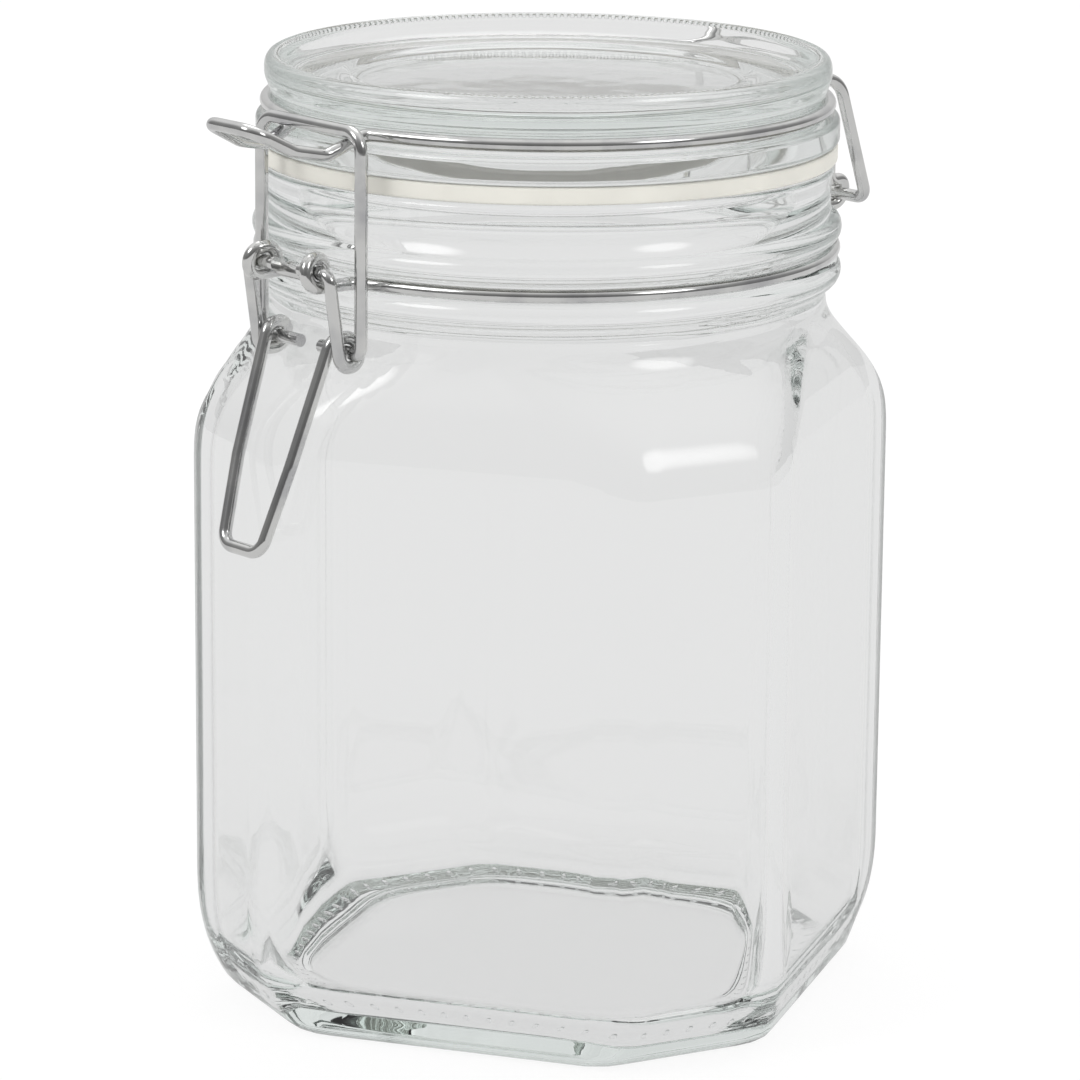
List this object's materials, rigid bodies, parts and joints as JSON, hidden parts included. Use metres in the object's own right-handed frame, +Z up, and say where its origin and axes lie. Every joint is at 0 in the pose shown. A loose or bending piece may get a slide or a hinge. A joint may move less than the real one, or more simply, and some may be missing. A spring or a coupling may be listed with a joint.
{
  "type": "preserving jar",
  "caption": "Clear glass preserving jar with a square, corner-cut body, round neck, glass lid, pale rubber ring and a wire lever clamp with a wire hinge behind.",
  "frame": {"origin": "on the jar's upright axis, in the plane that it stands on", "axes": "+Z up along the axis of the neck and lid, -Y out through the lever clamp, +Y out through the rear hinge, X along the wires' pivots"},
  "size_m": [0.1286, 0.1414, 0.1704],
  "materials": {
    "glass": "clear, polished",
    "seal_rubber": "matt, off-white",
    "wire": "bright zinc plate"
  },
  "bodies": {
    "jar": {"jar_glass": "glass", "neck_wire": "wire"},
    "lid": {"lid_glass": "glass", "lid_wire": "wire", "gasket": "seal_rubber"},
    "lever": {"lever": "wire"},
    "bail": {"bail": "wire"}
  },
  "joints": [
    {"name": "lever_swing", "type": "hinge", "parent": "jar", "child": "lever", "pos_m": [0, -0.0589, 0.13895], "axis": [-1, 0, 0], "range_deg": [0, 110]},
    {"name": "bail_swing", "type": "hinge", "parent": "lever", "child": "bail", "pos_m": [0, -0.054, 0.12495], "axis": [-1, 0, 0], "range_deg": [-108, 0]},
    {"name": "lid_hinge", "type": "hinge", "parent": "jar", "child": "lid", "pos_m": [0, 0.0652, 0.13895], "axis": [-1, 0, 0], "range_deg": [0, 110]}
  ],
  "couplings": [
    {"joint": "bail_swing", "follows": "lever_swing", "ratio": -0.98}
  ]
}
